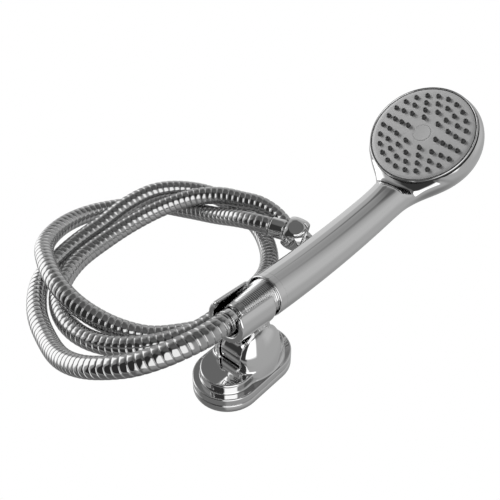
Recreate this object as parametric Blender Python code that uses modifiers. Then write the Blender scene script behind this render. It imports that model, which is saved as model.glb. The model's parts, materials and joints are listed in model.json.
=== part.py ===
"""Hand shower kit: a round-headed hand shower in its swivel wall bracket, with its spiral hose.

Sizes below are in millimetres, and MM turns them into Blender's metres. The part's frame has its
origin at the centre of the wall plate's back face, +Z away from that face, +X along the plate
towards the shower head, and +Y along the bracket's pivot.
"""
import math

import bmesh
import bpy
from mathutils import Matrix, Vector
from mathutils.geometry import interpolate_bezier

MM = 0.001
STEPS = 30                       # sides of a turned piece
BIG_STEPS = 40                   # sides of the head
SMALL_STEPS = 16                 # sides of a small turned piece

# Wall bracket
BASE_LENGTH = 72.0
BASE_WIDTH = 44.0
PLATE_HEIGHT = 5.3
COVER_BOTTOM = 5.6
FLANGE_TOP = 11.0
FLANGE_ROUND = 1.2
PLATEAU_TOP = 18.0
PLATEAU_RADIUS = 17.0
PIVOT = (5.0, 0.0, 23.5)
CHEEK_RADIUS = 17.5
CHEEK_INNER = 8.4                # half the gap between the two cheeks
CHEEK_REACH = 12.1               # how far a cheek bulges outwards at the flange
BARREL_RADIUS = 16.2
BARREL_HALF = 7.0
POCKET_RADIUS = 16.7
POCKET_HALF = 8.8                # shallow round recess in each cheek, for the friction washers
BOLT_RADIUS = 2.5
BOLT_HOLE = 2.8
PLATE_SCREWS = (-20.0, 20.0)     # places of the two wall screws along the plate

# Holding axis: from the handle's rim, positive towards the shower head
HOLD_TILT = 5.0                  # degrees that the axis drops towards the shower head
RIM = (20.0, 0.0, 52.0)
CLIP_FRONT = -4.5
CLIP_BACK = -35.0
CLIP_OUTER = 14.2
CLIP_SLOT = 18.0                 # width of the slot that the hose passes through
CONE_MOUTH = 7.0
CONE_BACK = -28.0
CONE_RIM_RADIUS = 11.5
CONE_SLOPE = 0.118               # radius gained per length

# Handset
HANDSET_ROLL = -3.2              # degrees about the holding axis, as it lies in the clip
HANDLE_RIM_RADIUS = 13.9
HANDLE_NECK_RADIUS = 13.6
HANDLE_NECK = 150.0
HANDLE_CURVE = 765.0             # bending radius of the handle's centre line
RECESS_RADIUS = 12.8
RECESS_DEPTH = 16.0
SEAT_RADIUS = 11.4
SEAT_DEPTH = 22.3
HANDLE_WALL = 1.9
HEAD_ALONG = 176.6
HEAD_UP = 51.8
HEAD_TILT = 40.6                 # degrees that the spray face leans back towards the handle
HEAD_RADIUS = 39.6
HEAD_BULGE = 42.2                 # widest radius of the head, behind the trim ring
HEAD_WALL = 2.8
HEAD_FRONT = -1.8
HEAD_SIDE = -10.0                # where the bulging side wall meets the domed back
HEAD_BACK = -31.0
NOZZLE_RINGS = ((6, 12.6, 20.6), (12, 18.9, 20.6), (18, 25.2, 40.8), (24, 31.5, 35.8))
NOZZLE_TOP = 3.0

# Hose and the fittings at its far end
HOSE_RADIUS = 7.0
HOSE_START = -34.3               # along the holding axis
HOSE_POINTS = 80
HOSE_END = (104.5, 66.0, 25.5)
HOSE_END_AXIS = (0.341, -0.937, -0.069)
NUT_AXIS = (0.30, -0.93, -0.20)  # the loose nut hangs a few degrees off the hose's end
NUT_SEAT = 17.8                  # from the hose's end to the collar that the nut turns on
NUT_BACK = -5.0
NUT_MOUTH = 9.4
NUT_FLATS = 24.0
NUT_BULGE = 13.1

# The hose's centre line from the cone nut to the tap end, as it lies
HOSE_ROUTE = (
    (-14.2, 0, 55), (-28, 0, 56.2), (-43, 3.2, 56.2), (-57, 10.5, 53), (-69, 21, 48.5), (-78, 36, 42.5),
    (-82, 63, 29), (-72, 107, 11), (-58, 140, 7.3), (-36, 165, 7.3), (-10, 176, 7.3), (10, 179, 9),
    (34, 179, 12), (57, 177, 18), (83, 169, 22), (103, 154, 20), (115, 138, 16), (120, 117, 11),
    (117, 93, 8), (99, 63, 7.3), (77, 45, 11), (41, 32, 20), (18, 30, 22), (-11, 35, 19),
    (-28, 45, 17), (-41, 58, 15), (-50, 75, 12), (-54, 98, 9), (-49, 124, 7.3), (-36, 144, 7.3),
    (-10, 160, 7.3), (22, 164, 9), (51, 160, 14), (77, 150, 20), (97, 135, 25), (109, 119.5, 26.5),
    (116, 105, 25.5), (121.5, 92.5, 24.4), (124.6, 79.5, 20), (125, 66, 13), (127, 54, 8.5), (123, 41.5, 7.3),
    (108, 31, 7.3), (86, 25.5, 7.3), (60, 21.5, 7.3), (34, 26.2, 7.3), (11.5, 37.3, 7.3), (-7.5, 49, 7.3),
    (-23.5, 63, 8), (-34.5, 79.5, 12), (-41, 99, 16.3), (-43, 118, 20.3), (-40.5, 137, 23), (-32, 160.5, 23),
    (-17, 183.5, 19), (3, 195, 16), (33, 199.5, 11), (61, 190, 7.8), (82, 172, 7.3), (93, 147, 8.5),
    (98, 118, 14), (99.3, 89, 23.5), (101.6, 74, 25.9), (104.5, 66, 25.5),
)


# ---------------------------------------------------------------- scene, materials and frames

def clear_scene():
    for obj in list(bpy.data.objects):
        bpy.data.objects.remove(obj, do_unlink=True)


def new_collection(name):
    collection = bpy.data.collections.new(name)
    bpy.context.scene.collection.children.link(collection)
    return collection


def make_material(name, colour, roughness, metallic):
    material = bpy.data.materials.new(name)
    material.use_nodes = True
    shader = material.node_tree.nodes["Principled BSDF"]
    shader.inputs["Base Color"].default_value = (*colour, 1.0)
    shader.inputs["Roughness"].default_value = roughness
    shader.inputs["Metallic"].default_value = metallic
    material.diffuse_color = (*colour, 1.0)
    return material


def make_frame(name, origin, parent=None, rotation=None):
    """An empty at origin (millimetres) that pieces are parented to."""
    frame = bpy.data.objects.new(name, None)
    frame.empty_display_size = 0.01
    PARTS.objects.link(frame)
    frame.parent = parent
    turn = rotation if rotation is not None else Matrix.Identity(3)
    frame.matrix_local = Matrix.Translation(Vector(origin) * MM) @ turn.to_4x4()
    bpy.context.view_layer.update()
    return frame


def axes(x_axis, z_axis):
    """Rotation whose columns are the x axis made square to the z axis, then y, then z."""
    z = Vector(z_axis).normalized()
    y = z.cross(Vector(x_axis)).normalized()
    x = y.cross(z)
    return Matrix((x, y, z)).transposed()


# ---------------------------------------------------------------- shapes

def add_object(name, data, frame, material):
    obj = bpy.data.objects.new(name, data)
    PARTS.objects.link(obj)
    obj.parent = frame
    if material is not None:
        data.materials.append(material)
    bpy.context.view_layer.update()
    return obj


def mesh_object(name, bm, frame, material=None):
    """Object from a bmesh drawn in millimetres."""
    bmesh.ops.scale(bm, vec=(MM, MM, MM), verts=bm.verts)
    bmesh.ops.recalc_face_normals(bm, faces=bm.faces)
    mesh = bpy.data.meshes.new(name)
    bm.to_mesh(mesh)
    bm.free()
    mesh.shade_smooth()
    mesh.set_sharp_from_angle(angle=math.radians(35))
    return add_object(name, mesh, frame, material)


def turned(name, profile, frame, material=None, steps=STEPS):
    """Profile of (radius, height) pairs, down its outer side, turned about the frame's z axis."""
    closed = profile[0][0] > 0
    bm = bmesh.new()
    points = [bm.verts.new((radius * MM, 0, height * MM)) for radius, height in profile]
    for start, end in zip(points, points[1:]):
        bm.edges.new((start, end))
    if closed:
        bm.edges.new((points[-1], points[0]))
    mesh = bpy.data.meshes.new(name)
    bm.to_mesh(mesh)
    bm.free()
    obj = add_object(name, mesh, frame, material)
    screw = obj.modifiers.new("turn", "SCREW")
    screw.axis = "Z"
    screw.angle = 2 * math.pi
    screw.steps = steps
    screw.render_steps = steps
    screw.use_merge_vertices = True
    screw.merge_threshold = 0.00001
    screw.use_smooth_shade = False
    return obj


def cylinder(name, radius, low, high, frame, material=None, along="Z", at=(0, 0), steps=STEPS, top=None):
    """Cylinder, or cone with another top radius, from low to high along one axis of the frame."""
    bm = bmesh.new()
    middle = Matrix.Translation((at[0], at[1], (low + high) / 2)) @ Matrix.Rotation(math.pi / steps, 4, "Z")
    turn = {"Z": Matrix.Identity(4),
            "Y": Matrix.Rotation(math.radians(-90), 4, "X"),
            "X": Matrix.Rotation(math.radians(90), 4, "Y")}[along]
    bmesh.ops.create_cone(bm, cap_ends=True, segments=steps, radius1=radius,
                          radius2=radius if top is None else top, depth=high - low,
                          matrix=turn @ middle)
    return mesh_object(name, bm, frame, material)


def box(name, low, high, frame, material=None):
    bm = bmesh.new()
    size = Vector(high) - Vector(low)
    centre = (Vector(high) + Vector(low)) / 2
    bmesh.ops.create_cube(bm, size=1, matrix=Matrix.Translation(centre) @ Matrix.Diagonal((*size, 1)))
    return mesh_object(name, bm, frame, material)


def ring_seal(name, radius, thickness, height, frame, material):
    """O-ring: a small circle turned about the frame's z axis."""
    circle = [(radius + thickness * math.cos(turn), height + thickness * math.sin(turn))
              for turn in (math.pi / 2 - 2 * math.pi * k / 8 for k in range(8))]
    return turned(name, circle, frame, material)


def stadium(length, width, sides=14):
    """Outline of an oblong with round ends, anticlockwise."""
    radius = width / 2
    half = length / 2 - radius
    outline = []
    for end, start in ((half, -math.pi / 2), (-half, math.pi / 2)):
        for k in range(sides + 1):
            turn = start + math.pi * k / sides
            outline.append((end + radius * math.cos(turn), radius * math.sin(turn)))
    return outline


def prism(name, outline, low, high, frame, material=None, upright=True, edge_round=0.0):
    """Flat outline given a thickness, along z, or along y when it is drawn in x and z."""
    curve = bpy.data.curves.new(name, "CURVE")
    curve.dimensions = "2D"
    curve.fill_mode = "BOTH"
    curve.extrude = (high - low) / 2 * MM
    spline = curve.splines.new("POLY")
    spline.points.add(len(outline) - 1)
    for point, (across, up) in zip(spline.points, outline):
        point.co = (across * MM, up * MM, 0, 1)
    spline.use_cyclic_u = True
    flat = add_object(name + "_outline", curve, frame, None)
    middle = Matrix.Translation((0, 0, (low + high) / 2 * MM))
    if not upright:
        middle = Matrix.Rotation(math.radians(90), 4, "X") @ Matrix.Translation((0, 0, -(low + high) / 2 * MM))
    flat.matrix_local = middle
    solid = to_mesh(name, flat, material)
    if edge_round:
        bevel = solid.modifiers.new("edge", "BEVEL")
        bevel.width = edge_round * MM
        bevel.segments = 3
        bevel.limit_method = "ANGLE"
    return solid


def to_mesh(name, curve_object, material=None):
    """Turn a curve object into a closed mesh object in the same place, and remove the curve."""
    bpy.context.view_layer.update()
    evaluated = curve_object.evaluated_get(bpy.context.evaluated_depsgraph_get())
    mesh = bpy.data.meshes.new_from_object(evaluated)
    mesh.name = name
    bm = bmesh.new()
    bm.from_mesh(mesh)
    bmesh.ops.remove_doubles(bm, verts=bm.verts, dist=0.000005)
    bmesh.ops.recalc_face_normals(bm, faces=bm.faces)
    bm.to_mesh(mesh)
    bm.free()
    frame = curve_object.parent
    place = curve_object.matrix_local.copy()
    bpy.data.objects.remove(curve_object, do_unlink=True)
    solid = add_object(name, mesh, frame, material)
    solid.matrix_local = place
    bpy.context.view_layer.update()
    return solid


def rod_curve(name, points, frame, radius, radii=None, resolution=6):
    """Round rod through the points (millimetres), with its own radius at each point if given."""
    curve = bpy.data.curves.new(name, "CURVE")
    curve.dimensions = "3D"
    curve.bevel_depth = radius * MM
    curve.bevel_resolution = resolution
    curve.use_fill_caps = True
    spline = curve.splines.new("POLY")
    spline.points.add(len(points) - 1)
    for k, point in enumerate(points):
        spline.points[k].co = (*(Vector(point) * MM), 1)
        spline.points[k].radius = radii[k] / radius if radii else 1.0
    return add_object(name, curve, frame, None)


def rod(name, points, frame, radius, material=None, radii=None, resolution=6):
    return to_mesh(name, rod_curve(name, points, frame, radius, radii, resolution), material)


def loft(name, sections, frame, material=None):
    """Closed skin over rings of points, capped at both ends."""
    bm = bmesh.new()
    rings = [[bm.verts.new(point) for point in section] for section in sections]
    for lower, upper in zip(rings, rings[1:]):
        for k in range(len(lower)):
            after = (k + 1) % len(lower)
            bm.faces.new((lower[k], lower[after], upper[after], upper[k]))
    bm.faces.new(list(reversed(rings[0])))
    bm.faces.new(rings[-1])
    return mesh_object(name, bm, frame, material)


def combine(target, operand, operation):
    modifier = target.modifiers.new(operand.name, "BOOLEAN")
    modifier.operation = operation
    modifier.solver = "EXACT"
    modifier.object = operand
    operand.hide_render = True
    operand.display_type = "WIRE"
    PARTS.objects.unlink(operand)
    CUTTERS.objects.link(operand)


def cut(target, *operands):
    for operand in operands:
        combine(target, operand, "DIFFERENCE")


def join(target, *operands):
    for operand in operands:
        combine(target, operand, "UNION")


# ---------------------------------------------------------------- wall bracket

def build_wall_plate(frame):
    plate = prism("wall_plate", stadium(BASE_LENGTH, BASE_WIDTH), 0, PLATE_HEIGHT, frame, CHROME)
    lug = cylinder("plate_lug", 3.0, PLATE_HEIGHT - 1, 8.6, frame, at=(27, 0), steps=SMALL_STEPS)
    join(plate, lug)
    for k, place in enumerate(PLATE_SCREWS):
        cut(plate,
            cylinder(f"screw_hole_{k}", 2.6, -1, PLATE_HEIGHT + 1, frame, at=(place, 0), steps=SMALL_STEPS),
            cylinder(f"countersink_{k}", 2.6, PLATE_HEIGHT - 2, PLATE_HEIGHT + 0.4, frame,
                     at=(place, 0), steps=SMALL_STEPS, top=5.0))
    return plate


def cheek(name, side, frame):
    """Round cheek with a flat inner face, whose outside sweeps down to the flange."""
    sections = []
    top = PIVOT[2] + CHEEK_RADIUS
    for k in range(13):
        height = 8.0 + (top - 8.05) * math.sin(k / 12 * math.pi / 2)
        rise = (height - PIVOT[2]) / CHEEK_RADIUS
        if rise > 0:
            half = CHEEK_RADIUS * math.sqrt(1 - rise * rise)
        else:
            half = CHEEK_RADIUS + 4.5 * rise * rise
        reach = CHEEK_REACH * math.sqrt(max(0.0, 1 - ((height - FLANGE_TOP) / (top - FLANGE_TOP + 0.4)) ** 2))
        section = []
        for step in range(13):
            turn = math.pi * step / 12
            section.append((PIVOT[0] + half * math.cos(turn),
                            side * (CHEEK_INNER + reach * math.sin(turn)), height))
        sections.append(section)
    return loft(name, sections, frame)


def build_cover(frame, pivot_frame):
    cover = prism("bracket_cover", stadium(BASE_LENGTH, BASE_WIDTH), COVER_BOTTOM, FLANGE_TOP,
                  frame, CHROME, edge_round=FLANGE_ROUND)
    plateau_length = BASE_LENGTH - BASE_WIDTH + 2 * PLATEAU_RADIUS
    plateau = prism("plateau", stadium(plateau_length, 2 * PLATEAU_RADIUS), COVER_BOTTOM + 1, PLATEAU_TOP,
                    frame, edge_round=0.8)
    join(cover, plateau, cheek("cheek_right", -1, frame), cheek("cheek_left", 1, frame))
    cut(cover,
        cylinder("pocket", POCKET_RADIUS, -POCKET_HALF, POCKET_HALF, pivot_frame, along="Y", steps=BIG_STEPS),
        cylinder("bolt_way", BOLT_HOLE, CHEEK_INNER - 1, 16.0, pivot_frame, along="Y", steps=SMALL_STEPS),
        cylinder("bolt_head_well", 5.0, 15.2, 26.0, pivot_frame, along="Y", steps=SMALL_STEPS),
        cylinder("insert_well", 4.3, -15.0, -CHEEK_INNER + 1, pivot_frame, along="Y", steps=SMALL_STEPS),
        cylinder("front_hollow", 8.0, COVER_BOTTOM - 1, 14.0, frame, at=(PLATE_SCREWS[0], 0)),
        cylinder("rear_hollow", 5.5, COVER_BOTTOM - 1, 8.8, frame, at=(PLATE_SCREWS[1], 0), steps=SMALL_STEPS),
        cylinder("lug_hollow", 3.7, COVER_BOTTOM - 1, 8.9, frame, at=(27, 0), steps=SMALL_STEPS),
        cylinder("grub_way", 1.45, 28.0, 38.0, frame, along="X", at=(-7.4, 0), steps=12))
    return cover


def build_pivot(pivot_frame):
    bolt = cylinder("pivot_bolt", BOLT_RADIUS, -14.0, 16.0, pivot_frame, STEEL, along="Y", steps=SMALL_STEPS)
    head = cylinder("bolt_head", 4.5, 15.5, 18.3, pivot_frame, along="Y", steps=SMALL_STEPS)
    join(bolt, head)
    cut(bolt, box("bolt_slot", (-4, 17.3, -0.5), (4, 19, 0.5), pivot_frame))
    insert = cylinder("pivot_insert", 4.0, -14.6, -9.2, pivot_frame, BRASS, along="Y", steps=SMALL_STEPS)
    cut(insert, cylinder("insert_thread", BOLT_HOLE, -16, -8, pivot_frame, along="Y", steps=SMALL_STEPS))
    for name, low, high in (("friction_washer_right", -8.5, -7.3), ("friction_washer_left", 7.3, 8.5)):
        washer = cylinder(name, 8.0, low, high, pivot_frame, NYLON, along="Y", steps=SMALL_STEPS)
        cut(washer, cylinder(name + "_hole", 2.9, low - 1, high + 1, pivot_frame, along="Y",
                             steps=SMALL_STEPS))


def build_cradle(pivot_frame, holding_frame):
    """Clip, web and pivot barrel in one casting."""
    barrel = cylinder("cradle", BARREL_RADIUS, -BARREL_HALF, BARREL_HALF, pivot_frame, CHROME, along="Y",
                      steps=BIG_STEPS)
    side = [(10, -1), (14.8, 6.5), (13.2, 13.5), (12.8, 18.5), (12.2, 30), (-15, 30), (-12.5, 17.5), (-15.3, 5), (-10, -1)]
    web = prism("web", side, -BARREL_HALF + 0.02, BARREL_HALF - 0.02, pivot_frame, upright=False)
    clip = cylinder("clip", CLIP_OUTER, CLIP_BACK, CLIP_FRONT, holding_frame, steps=STEPS)
    join(barrel, web, clip)
    cut(barrel,
        cylinder("clip_bore", 9.7, CLIP_BACK - 1, 4.0, holding_frame, top=12.3),
        box("clip_slot", (0, -CLIP_SLOT / 2, CLIP_BACK - 1), (30, CLIP_SLOT / 2, CLIP_FRONT + 1), holding_frame),
        cylinder("barrel_hole", BOLT_HOLE, -BARREL_HALF - 1, BARREL_HALF + 1, pivot_frame, along="Y",
                 steps=SMALL_STEPS))
    return barrel


def build_cover_screw(frame):
    screw = cylinder("cover_screw", 1.15, 30.4, 35.4, frame, STEEL, along="X", at=(-7.4, 0), steps=12)
    cut(screw, cylinder("screw_socket", 0.6, 34.2, 36.0, frame, along="X", at=(-7.4, 0), steps=6))


# ---------------------------------------------------------------- cone nut and hose tail

def cone_radius(along):
    return CONE_RIM_RADIUS + CONE_SLOPE * along


def build_cone_nut(frame):
    outside = [(cone_radius(along), along) for along in (CONE_MOUTH, -2.0, -14.0, -25.0, CONE_BACK)]
    inside = [(6.2, CONE_BACK), (6.2, -5.5), (9.6, -5.5), (9.6, -2.0), (10.6, -2.0), (10.6, CONE_MOUTH)]
    turned("cone_nut", outside + inside, frame, CHROME)
    turned("cone_washer", [(9.2, -1.3), (9.2, -3.3), (5.0, -3.3), (5.0, -1.3)], frame, RUBBER)


def build_hose_top(frame):
    tail = [(9.2, -3.6), (9.2, -5.2), (5.8, -5.2), (5.8, -29.5), (5.0, -29.5), (5.0, -34.0),
            (3.6, -34.0), (3.6, -3.6)]
    turned("hose_tail_top", tail, frame, CHROME)
    turned("ferrule_top", [(7.3, -29.8), (7.3, -34.0), (5.3, -34.0), (5.3, -29.8)], frame, CHROME)


# ---------------------------------------------------------------- handset

def handle_centre(along):
    """The handle's centre line bends up towards the spray face."""
    return (along * along / (2 * HANDLE_CURVE), 0, along)


def handle_radius(along):
    return HANDLE_RIM_RADIUS + (HANDLE_NECK_RADIUS - HANDLE_RIM_RADIUS) * along / HANDLE_NECK


def head_profile(rim, widest, front, back):
    """Front disc, bulging side wall and domed back, from the axis round to the axis."""
    dome = []
    for k in range(9):
        turn = math.pi / 2 * k / 9
        dome.append((widest * math.cos(turn) ** 0.42, HEAD_SIDE + (back - HEAD_SIDE) * math.sin(turn)))
    return [(0, front), (rim, front), (rim + (widest - rim) * 0.7, -5.5)] + dome + [(0, back)]


def neck_path(first, thickness):
    """Centres and radii of the handle from first to where it flares into the head's back."""
    stations = [first + (HANDLE_NECK - first) * k / 8 for k in range(9)]
    points = [handle_centre(along) for along in stations]
    radii = [handle_radius(along) - thickness for along in stations]
    for up, along, radius in ((17.5, 158.0, 14.1), (22.8, 166.0, 14.0), (29.5, 173.5, 11.0), (38.0, 181.0, 7.0)):
        points.append((up, 0, along))
        radii.append(radius - thickness)
    return points, radii


def build_handset_body(frame, spray_frame):
    points, radii = neck_path(0.0, 0.0)
    body = rod("handset_body", points, frame, 10.0, CHROME, radii, resolution=13)
    head = turned("head", head_profile(HEAD_RADIUS, HEAD_BULGE, 0.5, HEAD_BACK), spray_frame, steps=BIG_STEPS)
    join(body, head)
    inner_points, inner_radii = neck_path(SEAT_DEPTH - 0.5, HANDLE_WALL)
    cut(body,
        cylinder("face_clearance", HEAD_RADIUS + 0.3, HEAD_FRONT, 40, spray_frame, steps=BIG_STEPS),
        turned("head_hollow", head_profile(HEAD_RADIUS - HEAD_WALL, HEAD_BULGE - HEAD_WALL, 2.0, HEAD_BACK + 2.2),
               spray_frame, steps=BIG_STEPS),
        rod("handle_hollow", inner_points, frame, 10.0, None, inner_radii, resolution=9),
        cylinder("rim_recess", RECESS_RADIUS, -2, RECESS_DEPTH, frame),
        cylinder("spigot_seat", SEAT_RADIUS, RECESS_DEPTH - 1, SEAT_DEPTH, frame))
    join(body, cylinder("screw_post", 4.5, HEAD_BACK + 1.2, -10.2, spray_frame, steps=SMALL_STEPS))
    cut(body, cylinder("post_hole", 2.15, -19.0, -9.0, spray_frame, steps=SMALL_STEPS))
    return body


def nozzle_places():
    for count, radius, first in NOZZLE_RINGS:
        for k in range(count):
            turn = math.radians(first) + 2 * math.pi * k / count
            yield radius * math.cos(turn), radius * math.sin(turn)


def rows_of_cones(name, low_radius, high_radius, low, high, frame, sides):
    """One cone at every nozzle's place, in one object."""
    bm = bmesh.new()
    for across, along in nozzle_places():
        bmesh.ops.create_cone(bm, cap_ends=True, segments=sides, radius1=low_radius, radius2=high_radius,
                              depth=high - low, matrix=Matrix.Translation((across, along, (low + high) / 2)))
    return mesh_object(name, bm, frame)


def build_spray_face(frame):
    plate_profile = [(6.9, 1.1), (30.0, 1.0), (36.5, 0.8), (37.7, 0.2), (37.7, -0.4), (5.2, -0.4),
                     (5.2, -7.4), (2.3, -7.4), (2.3, -2.9), (3.8, -2.9), (3.8, 0.1), (6.9, 0.1)]
    plate = turned("face_plate", plate_profile, frame, SATIN)
    cut(plate, rows_of_cones("plate_holes", 2.2, 2.2, -2.0, 3.0, frame, 6))
    mat = turned("nozzle_mat", [(35.3, -0.7), (35.3, -2.4), (5.5, -2.4), (5.5, -0.7)], frame, RUBBER)
    join(mat, rows_of_cones("nozzles", 1.85, 1.5, -1.5, NOZZLE_TOP, frame, 6))
    turned("trim_ring", [(39.6, 0.4), (39.6, -1.5), (36.9, -1.5), (36.9, -5.0), (35.8, -5.0), (35.8, -0.7),
                         (38.0, -0.7), (38.0, 0.4), (38.3, 0.8), (39.2, 0.8)], frame, CHROME, steps=BIG_STEPS)
    chamber = turned("spray_chamber", [(35.2, -2.7), (35.2, -9.6), (2.3, -9.6), (2.3, -8.0),
                                       (33.7, -8.0), (33.7, -2.7)], frame, PLASTIC)
    cut(chamber, cylinder("chamber_inlet", 2.6, -12, -7, frame, at=(-24, 0), steps=SMALL_STEPS))
    ring_seal("chamber_seal", 36.2, 0.8, -7.2, frame, RUBBER)
    turned("centre_cap", [(0, 1.35), (6.2, 1.3), (6.6, 1.0), (6.6, 0.4), (0, 0.4)], frame, SATIN)
    screw = turned("face_screw", [(0, -0.3), (3.4, -0.3), (3.4, -2.5), (1.85, -2.5), (1.85, -16.0),
                                  (0, -16.0)], frame, STEEL, steps=SMALL_STEPS)
    cut(screw,
        box("screw_slot_a", (-2.2, -0.4, -1.5), (2.2, 0.4, 0.5), frame),
        box("screw_slot_b", (-0.4, -2.2, -1.5), (0.4, 2.2, 0.5), frame))


def build_waterway(frame):
    spigot = [(8.0, 23.3), (8.0, 20.0), (11.1, 20.0), (11.1, 16.4), (10.3, 16.4), (10.3, -1.0),
              (6.5, -1.0), (6.5, 23.3)]
    turned("inlet_spigot", spigot, frame, BRASS)
    ring_seal("spigot_seal", 10.4, 0.8, 21.2, frame, RUBBER)
    turned("flow_restrictor", [(6.1, 6.0), (6.1, 3.0), (2.0, 3.0), (2.0, 6.0)], frame, PLASTIC,
           steps=SMALL_STEPS)
    stations = (24.0, 50.0, 80.0, 110.0, 140.0)
    path = [handle_centre(along) for along in stations]
    path += [(15.5, 0, 152.0), (18.6, 0, 160.5), (22.5, 0, 165.8), (26.6, 0, 165.2)]
    tube = rod("water_tube", path, frame, 3.2, PLASTIC, resolution=2)
    bore = [(0.4, 0, 20.0)] + path[1:-1] + [(30.5, 0, 164.6)]
    cut(tube, rod("tube_bore", bore, frame, 2.2, None, resolution=2))


# ---------------------------------------------------------------- hose and its tap end

def smooth_route(points, count):
    """Evenly spaced points on a smooth curve through the given points."""
    knots = [Vector(point) for point in points]
    slopes = [knots[1] - knots[0]]
    for before, here, after in zip(knots, knots[1:], knots[2:]):
        first = (here - before).length
        second = (after - here).length
        slope = ((here - before) / first * second + (after - here) / second * first) / (first + second)
        slopes.append(slope * min(first, second))
    slopes.append(knots[-1] - knots[-2])
    dense = [knots[0]]
    for k in range(len(knots) - 1):
        span = (knots[k + 1] - knots[k]).length
        leave = slopes[k].normalized() * span / 3
        arrive = slopes[k + 1].normalized() * span / 3
        dense += interpolate_bezier(knots[k], knots[k] + leave, knots[k + 1] - arrive, knots[k + 1], 25)[1:]
    lengths = [0.0]
    for before, here in zip(dense, dense[1:]):
        lengths.append(lengths[-1] + (here - before).length)
    even = []
    index = 0
    for k in range(count):
        target = lengths[-1] * k / (count - 1)
        while index < len(dense) - 2 and lengths[index + 1] < target:
            index += 1
        share = (target - lengths[index]) / (lengths[index + 1] - lengths[index])
        even.append(dense[index].lerp(dense[index + 1], min(1.0, max(0.0, share))))
    return even


def build_hose(frame):
    hose = rod_curve("hose", smooth_route(HOSE_ROUTE, HOSE_POINTS), frame, HOSE_RADIUS, resolution=2)
    hose.data.materials.append(CHROME)


def nut_outline():
    """Barrel-shaped outside of the hex nut, from its mouth to its back."""
    middle = (NUT_MOUTH + NUT_BACK) / 2
    outline = []
    for k in range(13):
        height = NUT_MOUTH + (NUT_BACK - NUT_MOUTH) * k / 12
        outline.append((NUT_BULGE - 0.04 * (height - middle) ** 2, height))
    return outline


def build_tap_end(frame, nut_frame):
    turned("ferrule_end", [(7.2, 11.3), (7.7, 10.7), (7.7, 1.7), (7.2, 1.2), (5.3, 1.2), (5.3, 11.3)], frame, CHROME)
    turned("hose_tail_end", [(9.0, 18.6), (9.0, 17.0), (6.0, 17.0), (6.0, 13.3), (5.0, 13.3), (5.0, 1.2),
                             (3.6, 1.2), (3.6, 18.6)], frame, STEEL)
    inside = [(7.3, NUT_BACK), (7.3, -2.4), (9.9, -2.4), (9.9, NUT_MOUTH)]
    nut = turned("end_nut", nut_outline() + inside, nut_frame, CHROME)
    hexagon = cylinder("hexagon", NUT_FLATS / math.sqrt(3), NUT_BACK - 1, NUT_MOUTH + 1, nut_frame, steps=6)
    combine(nut, hexagon, "INTERSECT")
    turned("end_washer", [(9.4, 4.6), (9.4, 2.6), (5.0, 2.6), (5.0, 4.6)], nut_frame, RUBBER)


# ---------------------------------------------------------------- assembly

def build():
    bracket = make_frame("bracket_frame", (0, 0, 0))
    pivot = make_frame("cradle_pivot", PIVOT, bracket)
    drop = math.radians(HOLD_TILT)
    along = (math.cos(drop), 0, -math.sin(drop))
    up = (math.sin(drop), 0, math.cos(drop))
    holding = make_frame("holding_axis", Vector(RIM) - Vector(PIVOT), pivot, axes(up, along))
    handset = make_frame("handset_axis", (0, 0, 0), holding,
                         Matrix.Rotation(math.radians(HANDSET_ROLL), 3, "Z"))
    lean = math.radians(HEAD_TILT)
    normal = (math.cos(lean), 0, -math.sin(lean))
    away = (math.sin(lean), 0, math.cos(lean))
    spray = make_frame("spray_axis", (HEAD_UP, 0, HEAD_ALONG), handset, axes(away, normal))
    hose_end = make_frame("hose_end_axis", HOSE_END, bracket, axes((0, 0, 1), HOSE_END_AXIS))
    seat = Vector(HOSE_END) + Vector(HOSE_END_AXIS).normalized() * NUT_SEAT
    nut = make_frame("nut_axis", seat, bracket, axes((0, 0, 1), NUT_AXIS))

    build_wall_plate(bracket)
    build_cover(bracket, pivot)
    build_pivot(pivot)
    build_cover_screw(bracket)
    build_cradle(pivot, holding)
    build_cone_nut(holding)
    build_hose_top(holding)
    build_handset_body(handset, spray)
    build_spray_face(spray)
    build_waterway(handset)
    build_hose(bracket)
    build_tap_end(hose_end, nut)


clear_scene()
PARTS = new_collection("hand_shower")
CUTTERS = new_collection("cutters")
CHROME = make_material("chrome", (0.80, 0.80, 0.81), 0.06, 1.0)
SATIN = make_material("satin_face", (0.42, 0.42, 0.43), 0.45, 0.0)
STEEL = make_material("steel", (0.62, 0.62, 0.63), 0.30, 1.0)
BRASS = make_material("brass", (0.72, 0.56, 0.28), 0.30, 1.0)
RUBBER = make_material("rubber", (0.09, 0.09, 0.095), 0.55, 0.0)
PLASTIC = make_material("plastic", (0.72, 0.72, 0.70), 0.45, 0.0)
NYLON = make_material("nylon", (0.80, 0.79, 0.74), 0.45, 0.0)
build()
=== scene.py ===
"""Looks of the hand shower with its wall bracket and coiled hose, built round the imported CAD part.

Lengths are in millimetres in the row frame, and MM turns them into metres.
"""
import json
import math

import bmesh
import bpy
import numpy as np
from mathutils import Matrix, Vector

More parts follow.
